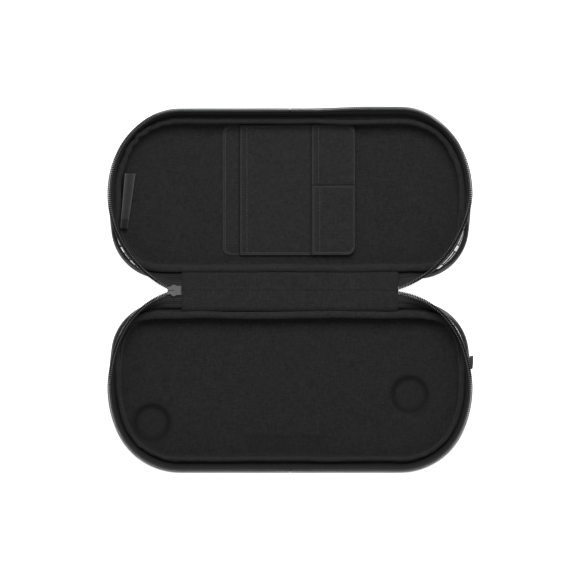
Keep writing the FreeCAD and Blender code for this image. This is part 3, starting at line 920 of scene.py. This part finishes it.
for half in ("base", "lid"):
    makeLining(half)


# spine panel and its outer cloth

spine = {
    "half": 89.0 * mm, "edge": 17.0 * mm, "base": 14.7 * mm, "pad": 1.7 * mm, "thickness": 1.5 * mm,
    "roundEdge": 3.0 * mm, "edgeSink": 1.5 * mm, "roundEnd": 0.9 * mm, "endSink": 0.7 * mm,
    "cells": (90, 12), "foldStart": 16.8 * mm, "foldEnd": 12.0 * mm,
    "coverDepth": 26.8 * mm, "coverHeight": 14.2 * mm, "coverThickness": 0.6 * mm,
    "coverCells": (60, 8),
}


def makeSpine():
    for half, sign in (("base", -1), ("lid", 1)):
        place = (0, sign * spine["edge"] / 2, spine["base"] + spine["pad"])
        size = (2 * spine["half"], spine["edge"])
        obj = flatGrid(half + "SpinePanel", spine["cells"], place, size)
        points = readPoints(obj)
        flat = points * [1, 1, 0]
        fromEdge = spine["edge"] - np.abs(points[:, 1])
        fromEnd = spine["half"] - np.abs(points[:, 0])
        sink = (1 - ease(fromEdge / spine["roundEdge"])) * spine["edgeSink"]
        sink = sink + (1 - ease(fromEnd / spine["roundEnd"])) * spine["endSink"]
        lump = waves(flat, 26 * mm, 11) * 0.35 * mm + waves(flat, 9 * mm, 12) * 0.1 * mm
        points[:, 2] += lump - sink
        writePoints(obj, points)
        modify(obj, "SOLIDIFY", thickness=spine["thickness"], offset=-1.0)
        bevel(obj, 0.3 * mm, 2, 60)
        outwards(obj)
        dress(smooth(obj, 60), "lining_cloth", "pocket_cloth")
        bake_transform(obj)
        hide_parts("spine_lining")
    size = (2 * spine["half"], spine["coverDepth"])
    place = (0, 0, spine["coverHeight"])
    cover = flatGrid("spineOuterCloth", spine["coverCells"], place, size)
    points = readPoints(cover)
    points[:, 2] += waves(points * [1, 1, 0], 30 * mm, 14) * 0.12 * mm
    writePoints(cover, points)
    modify(cover, "SOLIDIFY", thickness=spine["coverThickness"], offset=0.0)
    dress(smooth(cover), "outer_cloth", "spine_cloth")
    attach(cover, "spine")
    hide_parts("spine_cover")
    print("spine")


makeSpine()


# pocket block

# All in millimetres; rises are over the floor, the column is the card pockets'.
pocket = {
    "left": -55.3, "right": 53.6, "low": 28.9, "high": 136.6, "corner": 6.5,
    "wideEdge": -41.0, "column": 18.0, "split": 85.8, "cell": 1.05,
    "floor": 6.4, "rise": {"backing": 1.0, "cable": 2.4, "upper": 3.5, "lower": 4.5},
    "thickness": 0.9, "cardThickness": 0.8, "bevel": 0.25,
    "sewn": 2.2, "mouthHem": 5.6, "topHem": 1.2, "hemGroove": 0.9, "hemTurn": 1.3,
    "puffRun": 5, "roundEdge": 0.9, "leanDepth": 107, "leanWidth": 108,
    "edgeShadowWidth": 0.75, "edgeShadowAway": 0.7,
    "stitch": (1.0, 0.42, 0.36), "stitchRound": 0.13, "stitchPitch": 2.2,
}


# A cut of cloth with turned hems, in millimetres: its box, and the radius of each corner from
# low left round to high left. A hem below zero follows the outline.
def clothPatch(name, box, corners, z, thickness, hems, seed, edgeShadows=()):
    x0, y0, x1, y1 = box
    width, depth = x1 - x0, y1 - y0
    cells = (int(width / pocket["cell"]), int(depth / pocket["cell"]))
    middle = ((x0 + x1) / 2 * mm, (y0 + y1) / 2 * mm, z * mm)
    obj = flatGrid(name, cells, middle, (width * mm, depth * mm))
    points = readPoints(obj) / mm
    places = [(x0, y0), (x1, y0), (x1, y1), (x0, y1)]

    def fromSides():
        x, y = points[:, 0], points[:, 1]
        return {"left": x - x0, "right": x1 - x, "low": y - y0, "high": y1 - y}

    edge = np.minimum.reduce(list(fromSides().values()))
    for (cx, cy), radius in zip(places, corners):
        if radius:
            signX, signY = (1 if cx == x1 else -1), (1 if cy == y1 else -1)
            centre = np.array([cx - signX * radius, cy - signY * radius])
            away = points[:, :2] - centre
            inCorner = (away[:, 0] * signX > 0) & (away[:, 1] * signY > 0)
            reach = np.linalg.norm(away, axis=1)
            over = inCorner & (reach > radius)
            points[over, :2] = centre + away[over] * (radius / reach[over])[:, None]
            edge = np.where(inCorner, np.minimum(radius - reach, edge), edge)
    edge = np.maximum(edge, 0)
    flat = points * [1, 1, 0]
    lump = waves(flat, 24, seed) * 0.3 + waves(flat, 8, seed + 1) * 0.1
    sides = fromSides()
    groove, turned = np.zeros(len(points)), np.zeros(len(points))
    for side, place in hems.items():
        away = np.minimum(sides[side], edge) if place < 0 else sides[side]
        groove = np.maximum(groove, np.exp(-((away - abs(place)) / pocket["hemGroove"]) ** 2))
        turned = np.maximum(turned, np.exp(-(away / pocket["hemTurn"]) ** 2))
    rounded = (1 - ease(edge / pocket["roundEdge"])) * 0.2
    points[:, 2] += lump * ease(edge / pocket["puffRun"]) - groove * 0.3 - rounded + turned * 0.15
    lean = ease((points[:, 1] - y0) / pocket["leanDepth"])  # the far edge rises to the right
    points[:, 1] += lean * (points[:, 0] / pocket["leanWidth"])
    writePoints(obj, points * mm)
    # Painted shade: cloth just under the edge of the next layer is marked darker, standing in for
    # that edge's shadow.
    shadeAndPress = np.zeros(len(points))
    for axis, place, start, stop in edgeShadows:  # under the edge of the next layer
        across, along = points[:, axis], points[:, 1 - axis]
        near = np.exp(-((across - place) / pocket["edgeShadowWidth"]) ** 2)
        shadeAndPress = np.maximum(shadeAndPress, near * (along > start) * (along < stop))
    # The hem mark gives the turned hems a painted highlight in the cloth's colour.
    markPoints(obj, "hem", turned)
    markPoints(obj, "shadeAndPress", shadeAndPress)
    modify(obj, "SOLIDIFY", thickness=thickness * mm, offset=-1.0)
    bevel(obj, pocket["bevel"] * mm, 2, 50)
    smooth(obj, 60)
    dress(obj, "pocket_cloth")
    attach(obj, "lid")
    return obj


# A run of stitches along a line, one stitch modelled and repeated.
def stitchRow(name, points, z):
    line = np.array(points, float)
    length = np.linalg.norm(np.diff(line, axis=0), axis=1).sum()
    count = int(length / pocket["stitchPitch"])
    marks = evenly(line, count)
    size = [side * mm for side in pocket["stitch"]]
    row = roundedBlock(name, (0, 0, 0), size, pocket["stitchRound"] * mm, 2)
    shape = readPoints(row)
    repeat(row, count, 1.0)
    laid = []
    for a, b in zip(marks[:-1], marks[1:]):
        turn = math.atan2(b[1] - a[1], b[0] - a[0])
        c, s = math.cos(turn), math.sin(turn)
        middle = (a + b) / 2 * mm
        spin = np.array([[c, s, 0], [-s, c, 0], [0, 0, 1]])
        laid.append(shape @ spin + [middle[0], middle[1], z * mm])
    writePoints(row, np.vstack(laid))
    smooth(row)
    dress(row, "pocket_cloth", "seam_thread")
    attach(row, "lid")


def roundedLine(x0, y0, x1, y1, radius, inset):
    x0, y0, x1, y1 = x0 + inset, y0 + inset, x1 - inset, y1 - inset
    r = max(radius - inset, 0.5)
    right, left, low, high = x1 - r, x0 + r, y0 + r, y1 - r
    points = []
    for cx, cy, start in ((right, low, -90), (right, high, 0), (left, high, 90), (left, low, 180)):
        for k in range(9):
            a = math.radians(start + 90 * k / 8)
            points.append((cx + r * math.cos(a), cy + r * math.sin(a)))
    return points + [points[0]]


def makePockets():
    p = pocket
    left, right, low, high = p["left"], p["right"], p["low"], p["high"]
    wideEdge, column, split, corner = p["wideEdge"], p["column"], p["split"], p["corner"]
    height = {name: p["floor"] + rise for name, rise in p["rise"].items()}
    sewn = dict.fromkeys(("left", "low", "high", "right"), -p["sewn"])
    opened = {**sewn, "left": p["mouthHem"]}
    backing = clothPatch(
        "pocketBacking", (left, low, right, high), [corner] * 4, height["backing"],
        p["thickness"], sewn, 21, [(0, wideEdge - p["edgeShadowAway"], low, high)],
    )
    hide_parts("pocket_backing")
    cable = clothPatch(
        "cablePocket", (wideEdge, low + 0.2, right - 0.1, high - 0.2), [0, corner, corner, 0],
        height["cable"], p["thickness"], opened, 31, [(0, column - p["edgeShadowAway"], low, high)],
    )
    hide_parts("cable_pocket")
    upper = clothPatch(
        "upperCardPocket", (column, low + 0.4, right - 0.2, high - 0.3), [0, corner, corner, 0],
        height["upper"], p["cardThickness"], opened, 41,
        [(1, split + p["edgeShadowAway"], column, right)],
    )
    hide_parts("upper_card_pocket")
    lower = clothPatch(
        "lowerCardPocket", (column + 0.9, low + 0.5, right - 0.3, split), [0, corner, 0, 0],
        height["lower"], p["cardThickness"], {**opened, "high": p["topHem"]}, 51,
    )
    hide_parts("lower_card_pocket")
    print("pockets")


# Along the sewn edges and the pockets' hems, each a little sunk into its layer.
def makeStitches():
    p = pocket
    wideEdge, column, split = p["wideEdge"], p["column"], p["split"]
    top, bottom = p["high"] - p["sewn"], p["low"] + p["sewn"]
    outline = roundedLine(p["left"], p["low"], p["right"], p["high"], p["corner"], p["sewn"])
    leftSide = sorted([q for q in outline if q[0] < wideEdge], key=lambda q: -q[1])
    rightSide = sorted([q for q in outline if q[0] > 30], key=lambda q: q[1])
    mouth, columnMouth = wideEdge + p["mouthHem"], column + p["mouthHem"]
    lowerMouth = columnMouth + 0.9
    rows = {
        "backingStitches": (leftSide, 0.85),
        "topStitches": ([(wideEdge + 1, top), (column - 1, top + 0.3)], 2.25),
        "bottomStitches": ([(wideEdge + 1, bottom), (column - 1, bottom)], 2.25),
        "columnTopStitches": (
            [q for q in rightSide if q[1] > split] + [(column + 1, top + 0.6)], 3.35,
        ),
        "columnEndStitches": (
            [(column + 2, bottom)] + [q for q in rightSide if q[1] < split], 4.35,
        ),
        "cableMouthStitches": ([(mouth, bottom), (mouth, top)], 2.2),
        "columnStitches": ([(columnMouth, split + 2), (columnMouth, top)], 3.3),
        "lowerColumnStitches": ([(lowerMouth, bottom), (lowerMouth, split - 1)], 4.3),
    }
    for name, (points, rise) in rows.items():
        stitchRow(name, points, p["floor"] + rise)
    print("stitches", len(rows))


makePockets()
makeStitches()


# sewn label and side tab

label = {
    "corners": [(-139.2, 50.8), (-133.2, 50.6), (-135.2, 95.8), (-126.8, 96.2)],
    "edgeHeight": 18.6, "footHeight": 9.6, "thickness": 0.45, "foldY": 59.0,
}


def makeLabel():
    obj = flatGrid("sewnLabel", (10, 34), (0, 0, 0), (1, 1))
    points = readPoints(obj) + [0.5, 0.5, 0]
    u, v = points[:, 0], points[:, 1]
    lowOuter, lowInner, topOuter, topInner = np.array(label["corners"])
    low = lowOuter * (1 - u)[:, None] + lowInner * u[:, None]
    high = topOuter * (1 - u)[:, None] + topInner * u[:, None]
    place = low * (1 - v)[:, None] + high * v[:, None]
    fall = label["edgeHeight"] - label["footHeight"]
    height = label["edgeHeight"] - fall * ease(u * 0.95 + 0.05)
    height = height + np.sin(v * math.pi) * 0.6 * u + np.sin(v * 9) * 0.15
    writePoints(obj, np.column_stack([place, height]) * mm)
    modify(obj, "SOLIDIFY", thickness=label["thickness"] * mm, offset=0.0)
    bevel(obj, 0.12 * mm, 1, 50)
    dress(smooth(obj, 60), "label_satin")
    obj.data.materials.append(finishes["label_fold"])
    for face in obj.data.polygons:
        face.material_index = 1 if face.center.y < label["foldY"] * mm else 0
    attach(obj, "lid")
    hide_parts("sewn_label")
    print("label")


makeLabel()


# All in millimetres; the path's steps lead out and down over the lip.
tab = {
    "back": -53.0, "front": -65.0, "inner": 146.8, "top": 15.6, "thickness": 1.2, "skew": 0.6,
    "path": ((0.9, 0.0), (0.8, -0.3), (0.35, -0.9), (0.1, -1.5), (0.0, -2.2), (0.0, -2.2)),
}


# A ribbon loop folded over the lip.
def makeTab():
    deselect()
    bpy.ops.mesh.primitive_plane_add(size=1, location=(0, 0, 0))
    obj = added("sidePullTab")
    width = (tab["back"] - tab["front"]) * mm
    middle = (tab["inner"] + 0.5) * mm
    obj.scale = (1 * mm, width, 1)
    obj.location = (middle, (tab["back"] + tab["front"]) / 2 * mm, tab["top"] * mm)
    settle(obj)
    editAll(obj)
    bpy.ops.mesh.select_mode(type="EDGE")
    bpy.ops.mesh.select_all(action="DESELECT")
    mesh = bmesh.from_edit_mesh(obj.data)
    for edge in mesh.edges:
        edge.select_set(all(v.co.x > middle for v in edge.verts))
    bmesh.update_edit_mesh(obj.data)
    for dx, dz in tab["path"]:
        step = {"value": (dx * mm, 0, dz * mm)}
        bpy.ops.mesh.extrude_region_move(TRANSFORM_OT_translate=step)
    bpy.ops.mesh.select_mode(type="VERT")
    leaveEdit()
    modify(obj, "SOLIDIFY", thickness=tab["thickness"] * mm, offset=0.0)
    modify(obj, "SUBSURF", levels=2, render_levels=2)
    points = readPoints(obj)
    along = (points[:, 1] / mm - tab["front"]) / (tab["back"] - tab["front"])
    points[:, 0] += (along - 0.5) * tab["skew"] * mm
    writePoints(obj, points)
    outwards(obj)
    dress(smooth(obj, 60), "ribbon")
    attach(obj, "base")
    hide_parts("side_pull_tab")
    print("tab")


makeTab()


# solids kept as they are, and those under the soft linings

kept = {
    "base_shell": "outer_cloth", "lid_shell": "outer_cloth",
    "zip_slider": "slider_metal", "zip_puller": "puller_metal",
    "base_lining": "lining_cloth", "lid_lining": "lining_cloth",
}
for name, slot in kept.items():
    dress(nodes[name], slot)


# floor, light and camera

studio = {
    "floorSize": 6, "floorDrop": -0.0004, "floorTones": (0.78, 0.82), "glow": 0.85, "world": 0.5,
    "keyPlace": (0.05, 0.74, 1.12), "keySize": 0.75, "keyPower": 16.5,
    "cameraHeight": 2.6, "view": 0.4785, "centre": (0.0, 0.0004), "sensor": 36, "clipEnd": 20,
}


def makeStudio():
    deselect()
    bpy.ops.mesh.primitive_plane_add(size=studio["floorSize"], location=(0, 0, studio["floorDrop"]))
    ground = added("paleFloor")
    paint = Graph("paleFloorPaint")
    speck = paint.grain(6.0)
    dark, light = studio["floorTones"]
    table = paint.finish(paint.blendColours(speck, grey(dark), grey(light)), 0.8)
    paint.shader.inputs["Emission Color"].default_value = (1, 1, 1, 1)
    paint.shader.inputs["Emission Strength"].default_value = studio["glow"]
    ground.data.materials.append(table)
    world = bpy.context.scene.world or bpy.data.worlds.new("studioWorld")
    bpy.context.scene.world = world
    world.use_nodes = True
    sky = world.node_tree.nodes["Background"]
    sky.inputs["Color"].default_value = (1, 1, 1, 1)
    sky.inputs["Strength"].default_value = studio["world"]
    bpy.ops.object.light_add(type="AREA", location=studio["keyPlace"])
    lamp = bpy.context.active_object
    lamp.name = "keyLight"
    lamp.data.size = studio["keySize"]
    lamp.data.energy = studio["keyPower"]
    lamp.rotation_euler = (-Vector(studio["keyPlace"])).to_track_quat("-Z", "Y").to_euler()
    bpy.ops.object.camera_add(location=(*studio["centre"], studio["cameraHeight"]))
    camera = bpy.context.active_object
    camera.name = "topCamera"
    camera.rotation_euler = (0, 0, 0)
    camera.data.sensor_width = studio["sensor"]
    camera.data.lens = studio["sensor"] * studio["cameraHeight"] / studio["view"]
    camera.data.clip_end = studio["clipEnd"]
    bpy.context.scene.camera = camera
    bpy.context.scene.view_settings.view_transform = "Standard"


makeStudio()
